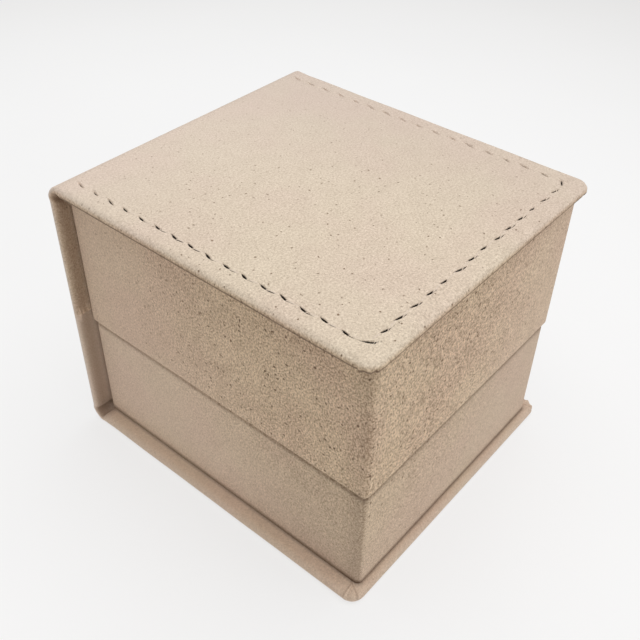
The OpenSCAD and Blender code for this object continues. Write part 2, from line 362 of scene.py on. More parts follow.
def suede(name, shares=(1, 1, 1), cover=False, pitShare=0.5, contrast=1.0, rough=1.0, reach=62 * mm):
    # brushed microfibre: a short nap that lies over in patches, with fine fibres and small open pits,
    # roughest and yellowest round the front left upper corner, where the lid is held, and calmer out to the
    # reach. On the cover the outer faces take the paler face tone, as painted light, and a calmer nap, and
    # the edges are rougher and keep the browner tone, as painted shade.
    bench = Bench(name)
    tone = tinted(suedeLook["trayTone"], *shares)
    place = bench.stored("restPlace", "Vector") if cover else bench.place()
    worn = 1 - bench.step(bench.distance(place, suedeLook["held"]), suedeLook["heldRadius"], reach)
    pale = bench.stored("litFaceShare") if cover else 0.0
    lump = bench.noise(place, suedeLook["lump"], 2)
    cloud = bench.noise(place, suedeLook["cloud"], 3, 0.6)
    grain = bench.noise(place, suedeLook["grain"], 3, 0.6, 0.2)
    lying = bench.stretch(place, (1.0, 1.0, 0.45), (0.5, 0.35, 0.3))
    fibre = bench.noise(lying, suedeLook["fibre"], 2, 0.6)
    pits = pitLook["cover" if cover else "tray"]
    pit = pitMask(bench, place, pitShare, pits)
    calm = worn * (1 - suedeLook["calm"]) + suedeLook["calm"]
    if cover:
        calm = calm * (1 - pale * 0.45)
    patches = (lump - 0.5) * (0.30 * contrast) + (cloud - 0.5) * (0.40 * contrast)
    fine = (grain - 0.5) * (2.3 * contrast) + (fibre - 0.5) * (1.6 * contrast)
    shade = 0.5 + (patches + fine) * calm
    colour = bench.mix(tinted(tone, 0.60, 0.56, 0.52), tinted(tone, 1.36, 1.40, 1.44), shade)
    # painted light: on the cover the outer faces mix to the paler face tone, and the edges keep the browner
    # tone as painted shade
    if cover:
        face = suedeLook["faceTone"]
        flat = bench.mix(tinted(face, 0.66, 0.63, 0.60), tinted(face, 1.32, 1.35, 1.38), shade)
        colour = bench.mix(colour, flat, pale)
    dark = pit * (suedeLook["pitDark"] * contrast ** 0.5) * worn ** pits["fade"]
    colour = bench.mix(colour, tinted(tone, 0.36, 0.29, 0.23), dark)
    colour = bench.mix(colour, bench.mix(*suedeLook["dyes"], bench.step(lump, 0.34, 0.66)), 1.0, "MULTIPLY")
    tint = bench.mix(suedeLook["restTint"], suedeLook["heldTint"], worn)
    colour = bench.mix(colour, tint, 1.0, "MULTIPLY")
    # painted shade: the paintedShade attribute darkens the nap towards a deep brown in gaps, creases,
    # hollows and under edges
    colour = bench.mix(colour, tinted(tone, 0.15, 0.10, 0.07), bench.stored("paintedShade"))
    # painted shade: the needle slits, and the shadow beside each strand, painted almost black
    if cover:
        colour = bench.mix(colour, suedeLook["slitTone"], bench.step(bench.stored("slit"), 0.12, 0.5))
    height = grain * (suedeLook["grainDepth"] * rough) + fibre * (suedeLook["fibreDepth"] * rough)
    height = height + cloud * (suedeLook["cloudDepth"] * rough) - pit * (suedeLook["pitDepth"] * rough)
    return bench.close(colour=colour, roughness=0.95, gloss=0.12, normal=bench.relief(height * calm),
                       sheen=suedeLook["sheen"], sheenRoughness=0.55, sheenTint=suedeLook["sheenTint"])


def liningCloth(name, tone):  # short plush: fine upright pile that shades where it has been stroked
    bench = Bench(name)
    place = bench.place()
    stroke = bench.noise(bench.stretch(place, (1.0, 0.5, 1.0), (0, 0, 0.5)), 7 * mm, 3, 0.55, 0.6)
    pile = bench.noise(place, 0.28 * mm, 2, 0.6)
    tuft = bench.noise(place, 0.9 * mm, 2, 0.5)
    shade = 0.5 + (stroke - 0.5) * 0.9 + (pile - 0.5) * 0.6 + (tuft - 0.5) * 0.3
    dark, pale = (tinted(tone, k, k, k) for k in (0.80, 1.12))
    return bench.close(colour=bench.mix(dark, pale, shade), roughness=0.9, gloss=0.15,
                       normal=bench.relief(pile * 0.05 + tuft * 0.05 + stroke * 0.08),
                       sheen=0.5, sheenRoughness=0.4, sheenTint=(1.0, 0.97, 0.93, 1))


def greyboard():  # pressed waste-paper board: flecks of fibre in two tones
    bench = Bench("greyboard")
    place = bench.place()
    fleck = bench.noise(bench.stretch(place, (1.0, 0.3, 1.0)), 0.5 * mm, 3, 0.7)
    lump = bench.noise(place, 4 * mm, 2)
    spot = bench.step(bench.noise(place, 0.7 * mm, 1), 0.66, 0.72)
    colour = bench.mix((0.30, 0.275, 0.24), (0.46, 0.43, 0.38), fleck * 0.7 + lump * 0.3)
    colour = bench.mix(colour, (0.14, 0.12, 0.11), spot * 0.7)
    return bench.close(colour=colour, roughness=bench.step(fleck, 0.0, 1.0) * 0.15 + 0.78, gloss=0.25,
                       normal=bench.relief(fleck * 0.05 + lump * 0.04))


def paleCard():  # smooth card under the cushion
    bench = Bench("paleCard")
    place = bench.place()
    fleck = bench.noise(bench.stretch(place, (0.4, 1.0, 1.0)), 0.3 * mm, 3, 0.6)
    lump = bench.noise(place, 6 * mm, 2)
    colour = bench.mix((0.56, 0.51, 0.44), (0.68, 0.63, 0.56), fleck * 0.6 + lump * 0.4)
    return bench.close(colour=colour, roughness=0.75, gloss=0.3, normal=bench.relief(fleck * 0.02))


def thread():  # spun thread: the plies show as slanting bands along the strand, from its own length and turn
    bench = Bench("spunThread")
    place = bench.place()
    ply = bench.stored("ply")
    fuzz = bench.noise(place, 0.12 * mm, 2, 0.6)
    lump = bench.noise(place, 2.5 * mm, 2)
    colour = bench.mix((0.58, 0.48, 0.39), (0.80, 0.69, 0.58), ply * 0.55 + fuzz * 0.3 + lump * 0.15)
    return bench.close(colour=colour, roughness=0.85, gloss=0.2, normal=bench.relief(fuzz * 0.02),
                       sheen=0.2, sheenRoughness=0.5, sheenTint=(1.0, 0.97, 0.92, 1))


def platedSteel():  # plated magnet: fine drag marks and a few dull spots
    bench = Bench("platedSteel")
    place = bench.place()
    drag = bench.noise(bench.stretch(place, (0.06, 1.0, 1.0)), 0.15 * mm, 2)
    dull = bench.noise(place, 1.5 * mm, 3)
    colour = bench.mix((0.60, 0.60, 0.61), (0.74, 0.74, 0.75), dull)
    return bench.close(colour=colour, metallic=1.0, roughness=drag * 0.12 + dull * 0.15 + 0.22,
                       normal=bench.relief(drag * 0.008))


sweep = {
    "centre": (-0.025, 0.03, 0), "near": (0.95, 0.955, 0.96), "far": (0.73, 0.725, 0.72),
    "fall": (0.13, 0.38),  # the near tone ends and the far tone begins this far from the centre
    "strength": 0.67, "reach": 1.2,
}


def pearlFloor():  # the sweep under the box glows a little, like a floor lit from below: painted light, brightest near the centre, so that shadows stay faint
    bench = Bench("pearlFloor")
    place = bench.place()
    haze = bench.noise(place, 60 * mm, 2)
    colour = bench.mix((0.29, 0.29, 0.29), (0.31, 0.31, 0.31), haze)
    away = bench.distance(place, sweep["centre"])
    glow = bench.mix(sweep["near"], sweep["far"], bench.step(away, *sweep["fall"]))
    return bench.close(colour=colour, roughness=0.9, gloss=0.0, glow=glow, glowStrength=sweep["strength"])


# the shares shift each part's copy of the suede; partly they stand for the light that part gets, painted in
suedes = {
    "cover": {"name": "coverSuede", "cover": True, "pitShare": 0.55, "contrast": 1.15, "rough": 1.2,
              "reach": 95 * mm},
    "coverLower": {"name": "coverLowerSuede", "shares": (1.09, 1.13, 1.20), "cover": True, "pitShare": 0.3,
                   "contrast": 0.7},
    "lidTray": {"name": "lidTraySuede", "shares": (1.07, 1.07, 1.09), "pitShare": 0.66, "contrast": 1.4,
                "rough": 1.5},
    "baseTray": {"name": "baseTraySuede", "shares": (1.08, 1.10, 1.14), "contrast": 1.15, "rough": 1.3},
}
finishes = {key: suede(**look) for key, look in suedes.items()}
finishes |= {
    "lining": liningCloth("liningPlush", (0.70, 0.60, 0.49)),
    "cushion": liningCloth("cushionPlush", (0.76, 0.68, 0.58)),
    "board": greyboard(), "card": paleCard(), "thread": thread(), "steel": platedSteel(),
    "floor": pearlFloor(),
}


def layFloor():
    # a flat square under the box
    stations = np.linspace(-sweep["reach"], sweep["reach"], 25)
    x, y = np.meshgrid(stations, stations, indexing="ij")
    floor = makePiece("studioFloor", [np.stack([x, y, np.zeros_like(x)], -1)], (0, 0, 1))
    floor.data.materials.append(finishes["floor"])


layFloor()
print("finishes and floor made")


topLow, topHigh = span("top_suede")
foldLow, foldHigh = span("top_fold")
cover = {
    "half": topHigh[0], "front": topLow[1], "boardEnd": topHigh[1], "top": topHigh[2],
    "foldRadius": foldHigh[1] - foldLow[1], "thick": topHigh[2] - topLow[2],
    "corner": 2.5 * mm, "sheet": 0.5 * mm, "foldThick": 1.2 * mm, "turnIn": 6 * mm,
    "edgeSag": 0.10 * mm,  # how much the face falls away towards its padded edge
    "pleats": 6, "pleatDepth": 0.17 * mm,
    "footBend": 1.6 * mm,  # radius of the painted shadow line round the foot of the tray at its corners
    "paintedShading": {"lip": 0.72, "foot": 0.66, "spine": 0.50, "pleat": 0.22, "rightShade": 0.08, "most": 0.8},
    "wave": {"size": 14 * mm, "height": 0.07 * mm, "seedTop": 4, "seedBottom": 3},
}
panelRun = cover["boardEnd"] - cover["front"]
foldRun = cover["foldRadius"] * math.pi / 2
foldCentre = np.array([cover["boardEnd"], cover["top"] - cover["foldRadius"]])
middle = cover["top"] / 2
sheetEnd = panelRun + foldRun + foldCentre[1] - middle  # from the front edge to half way down the spine

stitch = {
    "inset": 3.5 * mm, "tail": 5.1 * mm, "frontCount": 15, "sideCount": 16,
    "cornerCut": 0.4 * mm,  # the corner hole sits this far inside the crossing of the rows
    "slitHalf": 1.30 * mm, "slitWidth": 0.18 * mm, "slitDepth": 0.48 * mm, "slant": 15.0,
    "dip": 0.10 * mm, "dipWidth": 0.75 * mm,
    "strandWide": 0.16 * mm, "strandHigh": 0.10 * mm, "strandRise": 0.015 * mm,
    "slip": 0.42 * mm, "lean": 0.10 * mm,  # how far in from its holes, and how far aslant, a strand lies
    "twist": 22, "dive": 0.34 * mm, "stray": 0.07 * mm, "seed": 7, "drawSeed": 11,
}


def stitchHoles():
    # needle holes in order from the back left, round the front, to the back right, as (x, run from the edge)
    x = cover["half"] - stitch["inset"]
    far = (-cover["front"] * 2) - stitch["tail"]
    side = np.linspace(far, stitch["inset"], stitch["sideCount"] + 1)
    front = np.linspace(-x, x, stitch["frontCount"] + 1)
    draw = np.random.default_rng(stitch["seed"])
    left = np.stack([np.full_like(side, -x), side], -1)
    across = np.stack([front, np.full_like(front, stitch["inset"])], -1)[1:-1]
    right = left[::-1] * (-1, 1)
    holes = np.concatenate([left, across, right])
    corners = [len(left) - 1, len(left) + len(across)]
    holes[corners] += np.array([[1, 1], [-1, 1]]) * stitch["cornerCut"]
    return holes + draw.normal(0, stitch["stray"], holes.shape)


holes = stitchHoles()
legs = np.diff(holes, axis=0)
legLength = np.linalg.norm(legs, axis=1)
ways = legs / legLength[:, None]
holeWay = np.concatenate([ways[:1], ways[:-1] + ways[1:], ways[-1:]])
holeWay /= np.linalg.norm(holeWay, axis=1)[:, None]
holeDraw = np.random.default_rng(stitch["drawSeed"])
holeSlant = np.radians(stitch["slant"] + holeDraw.normal(0, 4, len(holes)))
holeSize = np.clip(holeDraw.normal(1.0, 0.13, len(holes)), 0.7, 1.25)
tailSize = holeDraw.uniform(0.5, 1.3, len(holes))
tailSize *= along(1.0, 0.35, smooth((holes[:, 0] - holes[0, 0]) / (5 * mm)))  # longest along the left side
holeOpen = np.linalg.norm(holes - (-cover["half"], 0), axis=1)  # tighter away from the front left corner
holeOpen = along(1.0, 0.3, smooth((holeOpen - 34 * mm) / (34 * mm)))


def stitchRelief(x, run):
    # height and darkness that the sewing adds at (x, run): a shallow dip along the row, and at each hole
    # a slanting slit with a raised lip, deepest in the middle and pointed at both ends
    spot = np.stack([x.ravel(), run.ravel()], -1)
    near = (np.abs(np.abs(spot[:, 0]) - (cover["half"] - stitch["inset"])) < 3 * mm)
    near |= np.abs(spot[:, 1] - stitch["inset"]) < 3 * mm
    near &= spot[:, 1] < panelRun
    height, dark = np.zeros(len(spot)), np.zeros(len(spot))
    p = spot[near]
    if len(p):
        away = p[:, None, :] - holes[None, :-1, :]
        t = np.clip((away * ways).sum(-1) / legLength, 0, 1)
        gap = np.linalg.norm(away - t[..., None] * legs, axis=-1).min(1)
        dip = -stitch["dip"] * np.exp(-(gap / stitch["dipWidth"]) ** 2)
        away = p[:, None, :] - holes[None]
        ahead = (away * holeWay).sum(-1)
        # outward is to the right of the way sewn
        outward = away[..., 0] * holeWay[:, 1] - away[..., 1] * holeWay[:, 0]
        outward = -outward if (holeWay[0, 1] > 0) else outward
        c, s = np.cos(holeSlant), np.sin(holeSlant)
        u = (ahead * c + outward * s) / (stitch["slitHalf"] * holeSize)
        v = (outward * c - ahead * s) / stitch["slitWidth"]
        v = v + 0.5 * np.minimum(u ** 2, 1) - 0.2  # a little bowed
        taper = np.clip(1 - u ** 2, 0, 1) * (0.85 + 0.3 * np.clip(u, -1, 1))  # widest towards its outer end
        slit = (taper * smooth(1.25 - np.abs(v) / np.maximum(taper, 0.25) * 0.8))
        lip = (np.exp(-(np.abs(v) - 1.7) ** 2) * np.clip(1 - (u * 0.8) ** 2, 0, 1)).max(1)
        # the shadow along the outer side of the strand
        beside = outward / mm - 0.31 + 0.12 * (ahead / mm - 1.0)
        tail = np.exp(-(beside / 0.1) ** 2)
        tail = tail * smooth((ahead / mm - 0.8) * 3) * smooth((2.8 - ahead / mm) * 0.9)
        tail = (tail * tailSize * holeOpen ** 2).max(1)
        height[near] = dip + (-stitch["slitDepth"] * slit.max(1) + 0.05 * mm * lip * (1 - slit.max(1)))
        # painted shade in the slits, and the painted shadow beside each strand
        dark[near] = np.clip((slit * holeOpen).max(1) * 1.35 + 0.62 * tail, 0, 1)
    return height.reshape(x.shape), dark.reshape(x.shape)


def sheetThickness(run):  # the wrapped board's thickness, thinner where the fabric alone makes the fold
    folded = smooth((run - panelRun) / (1.4 * mm))
    folded *= smooth((panelRun + foldRun - run) / (1.4 * mm))
    return along(cover["thick"], cover["foldThick"], folded)


def bendOver(x, run, depth):
    # (x, run, depth) to a place: straight back along the board, a quarter turn over the fold, then down
    turn = np.clip((run - panelRun) / cover["foldRadius"], 0, math.pi / 2)
    flat = np.minimum(run, panelRun) + cover["front"]
    drop = np.maximum(run - panelRun - foldRun, 0)
    radius = cover["foldRadius"] - depth
    y = np.where(run < panelRun, flat, foldCentre[0] + radius * np.sin(turn))
    z = foldCentre[1] + radius * np.cos(turn) - drop
    return np.stack([np.broadcast_to(x, y.shape), y, z], -1)


cornerShare = 1 - (1 - np.linspace(0, 1, 11)[1:]) ** 1.5
cornerAngle = np.linspace(0, math.pi / 2, 13)[1:-1]
cornerColumns = 2 * len(cornerShare) + len(cornerAngle)


def ringPlan(inset, runs, across):
    # the open outline (side, rounded corner, front, rounded corner, side) at an inset from the sheet's edge;
    # inset is rows x columns. Past its radius the corner is a mitre, and the right half mirrors the left.
    half, turnIn = cover["half"], cover["turnIn"]
    count = len(runs) + cornerColumns
    side, toArc, arc, toFront = np.split(
        inset[:, :count], np.cumsum([len(runs), len(cornerShare), len(cornerAngle)]), axis=1)
    front = inset[:, count:count + len(across) - 2]
    r1, r2, r3 = (np.maximum(cover["corner"] - part, 0) for part in (toArc, arc, toFront))
    x = np.concatenate([side - half, toArc - half, arc + r2 - half - r2 * np.cos(cornerAngle),
                        -along(half - turnIn, half - toFront - r3, cornerShare[::-1])], 1)
    run = np.concatenate([np.broadcast_to(runs[::-1], side.shape), along(turnIn, toArc + r1, cornerShare),
                          arc + r2 - r2 * np.sin(cornerAngle), toFront], 1)
    return (np.concatenate([x, np.broadcast_to(across[1:-1], front.shape), -x[:, ::-1]], 1),
            np.concatenate([run, front, run[:, ::-1]], 1))


def pleats(x, run, depth):
    # where the margin is gathered round a front corner: waves across the angle about the corner's centre,
    # -1 to 1, strongest on the turned-in side
    cx, cy = np.abs(x) - (cover["half"] - cover["corner"]), cover["corner"] - run
    atCorner = smooth(cx / mm + 0.9) * smooth(cy / mm + 0.9)
    angle = np.arctan2(np.maximum(cy, 1e-9), np.maximum(cx, 1e-9))
    below = smooth((depth - 0.3 * mm) / (1.4 * mm)) * (depth < 4 * mm)
    turn = angle * 2 * cover["pleats"] + 2.2 * np.sign(x) + 0.9 * np.sin(angle * 5)
    return np.cos(turn) * (0.65 + 0.35 * np.sin(angle * 7 + 1)) * atCorner * below


def coverStations(lower):
    # stations along the run and across the face, and the insets of the rings round it: close together along
    # the sewing and far apart where the sheet is plain
    turnIn, half = cover["turnIn"], cover["half"]
    if lower:
        turnedIn = np.linspace(turnIn, panelRun, 46)[:-1]
        across = np.linspace(-(half - turnIn), half - turnIn, 37)
        return turnedIn, across, np.array([1.6, 2.4, 3.2, 4.2, 5.1, 6.0]) * mm
    offsets = np.array([-2.3, -1.95, -1.6, -1.25, -1.0, -0.78, -0.52, -0.26, 0, 0.26, 0.52, 0.78, 1.25]) * mm
    left = holes[: stitch["sideCount"]]
    nearLeft = (left[:, 1][:, None] + offsets).ravel()
    nearLeft = nearLeft[(nearLeft > turnIn + 0.1 * mm) & (nearLeft < panelRun)]
    front = holes[stitch["sideCount"] + 1: stitch["sideCount"] + stitch["frontCount"]]
    nearFront = (front[:, 0][:, None] - offsets).ravel()
    nearFront = nearFront[np.abs(nearFront) < half - turnIn - 0.1 * mm]
    across = grow(-(half - turnIn), nearFront, half - turnIn)
    flats = np.concatenate([[1.6, 2.1, 2.5], np.arange(2.76, 4.3, 0.1), [4.8, 6.0]]) * mm
    return grow(turnIn, nearLeft), across, flats


def coverPaintedShade(x, run, inset, depth, lower):
    # painted shade: how dark the nap is painted where it turns in towards the board (under the half-round
    # edge and in the gap beside the spine), along the foot of the tray, in the pleats, and, a little,
    # across the top towards the right
    paintedShading = cover["paintedShading"]
    footLow, footHigh = span("base_wrap" if lower else "lid_wrap")
    part = depth / sheetThickness(run)
    fade = 1 - smooth((inset - 1.5 * mm) / (3 * mm))
    onSpine = smooth((run - panelRun + 1 * mm) / (2.5 * mm))
    if lower:
        lip, rightShade = 0.02, 0.0
    else:
        # painted shade on the lower part of the half-round edge
        band = smooth((part - 0.55) / 0.09) * (1 - 0.8 * smooth((part - 0.82) / 0.12))
        lip = 0.06 * smooth((part - 0.3) / 0.2) + paintedShading["lip"] * band
        # painted shade: the top face a little darker towards the right
        rightShade = paintedShading["rightShade"] * smooth(x / (36 * mm) + 0.15) * (part < 0.1)
    # painted shadow along the foot of the tray, wider round its front corners
    bend = cover["footBend"]
    overX, overY = np.abs(x) - footHigh[0] + bend, footLow[1] + bend - run - cover["front"]
    atCorner = (overX > 0) & (overY > 0)
    gap = np.where(atCorner, np.hypot(overX, overY), np.maximum(overX, overY)) - bend
    wide = along(0.22, 0.6, smooth(np.minimum(overX, overY) / bend)) * mm
    foot = np.exp(-(np.maximum(gap, 0) / wide) ** 2) * (part > 0.9) * (1 - onSpine)
    # painted shade in the troughs of the pleats
    fold = smooth(-pleats(x, run, depth) * 2 - 0.4)
    lip = along(lip, paintedShading["spine"] * smooth((part - 0.58) / 0.4), onSpine) * fade
    return np.clip(lip + paintedShading["foot"] * foot + paintedShading["pleat"] * fold + rightShade, 0, paintedShading["most"])


def rumple(grid, lower):
    # moves a grid in place: a wave along the edges, and pleats where the margin is gathered at the corners
    half, front, wave = cover["half"], cover["front"], cover["wave"]
    x, y, z = grid[..., 0], grid[..., 1], grid[..., 2]
    edge = smooth((np.maximum(np.abs(x) - half + 3 * mm, front + 3 * mm - y)) / (3 * mm))
    seed = wave["seedBottom" if lower else "seedTop"]
    rise = swell(np.stack([x, y, z * 0], -1), wave["size"], seed) * wave["height"]
    cx, cy = np.abs(x) - (half - cover["corner"]), front + cover["corner"] - y
    pleat = pleats(x, y - front, cover["top"] - z) * cover["pleatDepth"]
    grid[..., 2] = z + rise * edge * (y < cover["boardEnd"] - 2 * mm) - pleat * 0.6
    out = np.stack([np.sign(x) * np.maximum(cx, 0), -np.maximum(cy, 0)], -1)
    out /= np.maximum(np.linalg.norm(out, axis=-1, keepdims=True), 1e-9)
    grid[..., 0] += pleat * out[..., 0]
    grid[..., 1] += pleat * out[..., 1]
    if lower:
        grid[..., 2] = cover["top"] - grid[..., 2]


def coverSheet(name, lower):
    # one sheet wrapped round a board: face, half-round edge and turned-in margin, bent over the fold and
    # half way down (or up) the spine. lower is the same sheet upside down, without sewing.
    fold = np.linspace(0, foldRun, 13) + panelRun
    spine = np.linspace(panelRun + foldRun, sheetEnd, 13)
    turnedIn, across, flats = coverStations(lower)
    runs = np.concatenate([turnedIn, fold, spine[1:]])
    runHere = np.concatenate([runs[::-1], np.zeros(2 * cornerColumns + len(across) - 2), runs])
    thick = sheetThickness(runHere)[None]
    theta = np.linspace(math.pi, 0, 13)[:, None]
    margin = np.array([6.0, 4.4, 3.2, 2.3, 1.6])[:, None] * mm
    xi, ri = np.meshgrid(across, runs, indexing="ij")

    def skin(shift):
        # the rings and the face inside them, for the outer skin (shift 0) or the inner skin (shift the
        # sheet), each as places, slit darkness (painted shade), painted shading, and the share of the paler
        # face tone (painted light)
        r = thick / 2 - shift
        inset = np.concatenate([
            np.broadcast_to(margin, (len(margin), thick.shape[1])), thick / 2 - r * np.sin(theta),
            np.broadcast_to(flats[:, None], (len(flats), thick.shape[1]))])
        depth = np.concatenate([
            np.broadcast_to(thick - shift, (len(margin), thick.shape[1])), thick / 2 - r * np.cos(theta),
            np.full((len(flats), thick.shape[1]), shift)])
        x, run = ringPlan(inset, runs, across)
        lift, dark = np.zeros_like(x), np.zeros_like(x)
        liftIn, darkIn = np.zeros_like(xi), np.zeros_like(xi)
        if shift == 0.0:
            sag = cover["edgeSag"] * (1 - smooth((inset - 0.2 * mm) / (3.4 * mm)))
            sag = sag * (1 - smooth((depth - 0.2 * mm) / (1.4 * mm)))
            lift = lift - sag * (1 - smooth((run - panelRun + 2 * mm) / (2 * mm)))
            if not lower:
                onFace = depth < 0.3 * mm
                sewn, dark = stitchRelief(x, run)
                lift, dark = lift + sewn * onFace, dark * onFace
                liftIn, darkIn = stitchRelief(xi, ri)
        onSpine = smooth((run - panelRun) / (3 * mm))
        # painted light: 1 on the outer face, falling to 0 over the half-round edge, which keeps the browner
        # tone as painted shade; on the spine the pale tone reaches further round
        flat = 1 - smooth((depth / thick - along(0.12, 0.3, onSpine)) / along(0.42, 0.5, onSpine))
        paintedShading = coverPaintedShade(x, run, inset, depth, lower)
        deep = np.full_like(xi, shift)
        paintedShadingIn = coverPaintedShade(xi, ri, np.full_like(xi, 9 * mm), deep, lower)
        return ((bendOver(x, run, depth - lift), dark, paintedShading, flat),
                (bendOver(xi, ri, deep - liftIn), darkIn, paintedShadingIn, np.ones_like(xi)))

    def plain(grid, litFaceShare):
        none = np.zeros(grid.shape[:2])
        return grid, none, none, none + litFaceShare

    outerRing, outerFace = skin(0.0)
    innerRing, innerFace = skin(cover["sheet"])
    hem = np.stack([outerRing[0][0], innerRing[0][0]])
    cut = np.stack([np.concatenate([ring[:, 0], face[1:, -1], ring[::-1, -1][1:]]) for ring, face in
                    ((outerRing[0], outerFace[0]), (innerRing[0], innerFace[0]))])
    # under the board the inner skin is flat, so it is one fan of triangles about the middle of the panel
    under, bendAt = innerFace[0], len(turnedIn)
    loop = np.concatenate([under[0, bendAt:0:-1], under[:, 0],
                           under[-1, 1:bendAt + 1], under[-2::-1, bendAt]])
    fan = np.stack([loop, np.broadcast_to(under[len(across) // 2, bendAt // 2], loop.shape)])
    bent = under[:, bendAt:].copy()
    parts = [outerRing, outerFace, innerRing, plain(fan, 1), plain(bent, 1), plain(hem, 0), plain(cut, 0)]
    for part in parts:
        rumple(part[0], lower)
    slit, paintedShade, litFaceShare = (np.concatenate([part[k].ravel() for part in parts]) for k in (1, 2, 3))
    piece = makePiece(name, [part[0] for part in parts],
                      values={"slit": slit, "paintedShade": paintedShade, "litFaceShare": litFaceShare})
    rememberPlace(piece)
    return dress(piece, finishes["coverLower" if lower else "cover"], "cover_suede")


def foldStrip(name, lower):
    # the strip inside a fold, between the turned-in margins: a thin arch under the outer sheet
    half = cover["half"] - cover["turnIn"] - 0.02 * mm
    runs = np.linspace(panelRun + 0.03 * mm, panelRun + foldRun - 0.03 * mm, 15)
    across = np.linspace(-half, half, 41)
    x, run = np.meshgrid(across, runs, indexing="ij")
    low, high = cover["sheet"] + 0.03 * mm, cover["foldThick"]
    skins = [bendOver(x, run, np.full_like(x, depth)) for depth in (low, high)]
    skins[1][..., 1:] += (swell(skins[1], 9 * mm, 6) * 0.04 * mm)[..., None]
    a, b = skins
    grids = [a, b, np.stack([a[0], b[0]]), np.stack([a[-1], b[-1]]),
             np.stack([a[:, 0], b[:, 0]]), np.stack([a[:, -1], b[:, -1]])]
    if lower:
        for grid in grids:
            grid[..., 2] = cover["top"] - grid[..., 2]
    points = sum(g[..., 0].size for g in grids)
    # painted shade: the strip lies in the fold's dark hollow, so it is painted dark throughout
    piece = makePiece(name, grids, values={
        "slit": np.zeros(points), "paintedShade": np.full(points, 0.35), "litFaceShare": np.zeros(points)})
    rememberPlace(piece)
    return dress(piece, finishes["cover"], "cover_suede")


def crossFold(piece, lower):  # bakes the piece's transform into its mesh
    top, end = cover["top"], cover["boardEnd"] + cover["foldRadius"]
    nearSpine, nearBoard = (end - 0.4 * mm, top - 1.8 * mm), (end - 1.8 * mm, top - 0.4 * mm)
    if lower:
        top - nearBoard[1]
        top - nearSpine[1]
        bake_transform(piece)
    else:
        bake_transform(piece)


coverTop = coverSheet("coverTop", False)
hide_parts("top_suede", "spine_suede")
coverBottom = coverSheet("coverBottom", True)
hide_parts("bottom_suede")
stripTop = foldStrip("foldStripTop", False)
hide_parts("top_fold")
stripBottom = foldStrip("foldStripBottom", True)
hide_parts("bottom_fold")
for piece, lower in ((coverTop, False), (coverBottom, True), (stripTop, False), (stripBottom, True)):
    crossFold(piece, lower)
print("cover wrapped:", len(coverTop.data.polygons), "and", len(coverBottom.data.polygons), "faces")


def sewThread():
    # one strand from each hole to the next: a flattened two-ply section carried along a low arch that starts
    # at the outer end of one slit and dives into the inner end of the next
    u, turn = np.meshgrid(np.linspace(0, 1, 19), np.linspace(0, 2 * math.pi, 11), indexing="ij")
    u, turn = u[None], turn[None]
    aside = np.stack([ways[:, 1], -ways[:, 0]], -1)
    if ways[0, 1] > 0:
        aside = -aside
    slip, lean = ways * stitch["slip"], aside * stitch["lean"]
    a, b = holes[:-1] + slip + lean, holes[1:] - slip - lean
    line = along(a[:, None, None], b[:, None, None], u[..., None])
    plies = np.cos(2 * turn - u * stitch["twist"])
    lobes = 1 + 0.10 * plies
    taper = 1 - 0.35 * np.abs(2 * u - 1) ** 4
    sideways = stitch["strandWide"] * np.cos(turn) * lobes * taper
    arch = stitch["strandRise"] - stitch["strandHigh"] - stitch["dive"] * np.abs(2 * u - 1) ** 5
    rise = arch + stitch["strandHigh"] * np.sin(turn) * lobes * taper
    spot = line + aside[:, None, None] * sideways[..., None]
    tops = bendOver(spot[..., 0], spot[..., 1], stitch["dip"] * 0.8 - rise)
    ply = np.broadcast_to(0.5 + 0.5 * plies, tops.shape[:-1])
    grids, values = [], []
    for strand, bands in zip(tops, ply):
        rims = strand[0], strand[-1]
        ends = [np.stack([np.broadcast_to(rim[:-1].mean(0), rim.shape), rim]) for rim in rims]
        grids += [strand, *ends]
        values += [bands.ravel(), np.full(ends[0][..., 0].size * 2, 0.5)]
    piece = makePiece("topStitching", grids, values={"ply": np.concatenate(values)})
    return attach(dress(piece, finishes["thread"], "thread", "top_thread"), "lid")


sewThread()
print("thread sewn")


tray = {
    "corner": 1.0 * mm, "backCorner": 0.5 * mm, "wall": 2.5 * mm, "sheet": 0.5 * mm, "rimRound": 0.75 * mm,
    "turnIn": 3 * mm, "bulge": 0.07 * mm, "waver": 0.06 * mm, "steps": 34,
    "liningCorner": 1.0 * mm, "liningBackCorner": 0.6 * mm, "liningThick": 0.48 * mm, "liningEdge": 0.2 * mm,
    # painted shade, how dark each part is painted: foot and rim lines, below the rim, beside the front
    # upright edges, the sides towards the front, the base's front face
    "foot": 0.66, "rim": 0.64, "under": 0.40, "upright": 0.17,
    "frontwardShade": 0.19, "lidFrontwardShade": 0.02, "faced": 0.08,
}


def outline(low, high, inset, frontRadius, backRadius, least=0.15 * mm):
    # a closed rectangle with rounded corners at an inset from the box from low to high; inset is rows x 1
    arc = np.linspace(0, math.pi / 2, 8)
    t = np.linspace(0, 1, tray["steps"])[1:-1]
    front, back = np.maximum(frontRadius - inset, least), np.maximum(backRadius - inset, least)
    x0, y0, x1, y1 = low[0] + inset, low[1] + inset, high[0] - inset, high[1] - inset
    corners = [(x1 - front, y0 + front, front, -math.pi / 2), (x1 - back, y1 - back, back, 0.0),
               (x0 + back, y1 - back, back, math.pi / 2), (x0 + front, y0 + front, front, math.pi)]
    x, y = [], []
    for k, (cx, cy, r, turn) in enumerate(corners):
        nx, ny, nr, _ = corners[(k + 1) % 4]
        c, s = math.cos(turn + math.pi / 2), math.sin(turn + math.pi / 2)
        x += [cx + r * np.cos(turn + arc), along(cx + r * c, nx + nr * c, t)]
        y += [cy + r * np.sin(turn + arc), along(cy + r * s, ny + nr * s, t)]
    x, y = np.concatenate([*x, x[0][:, :1]], 1), np.concatenate([*y, y[0][:, :1]], 1)
    return x, y


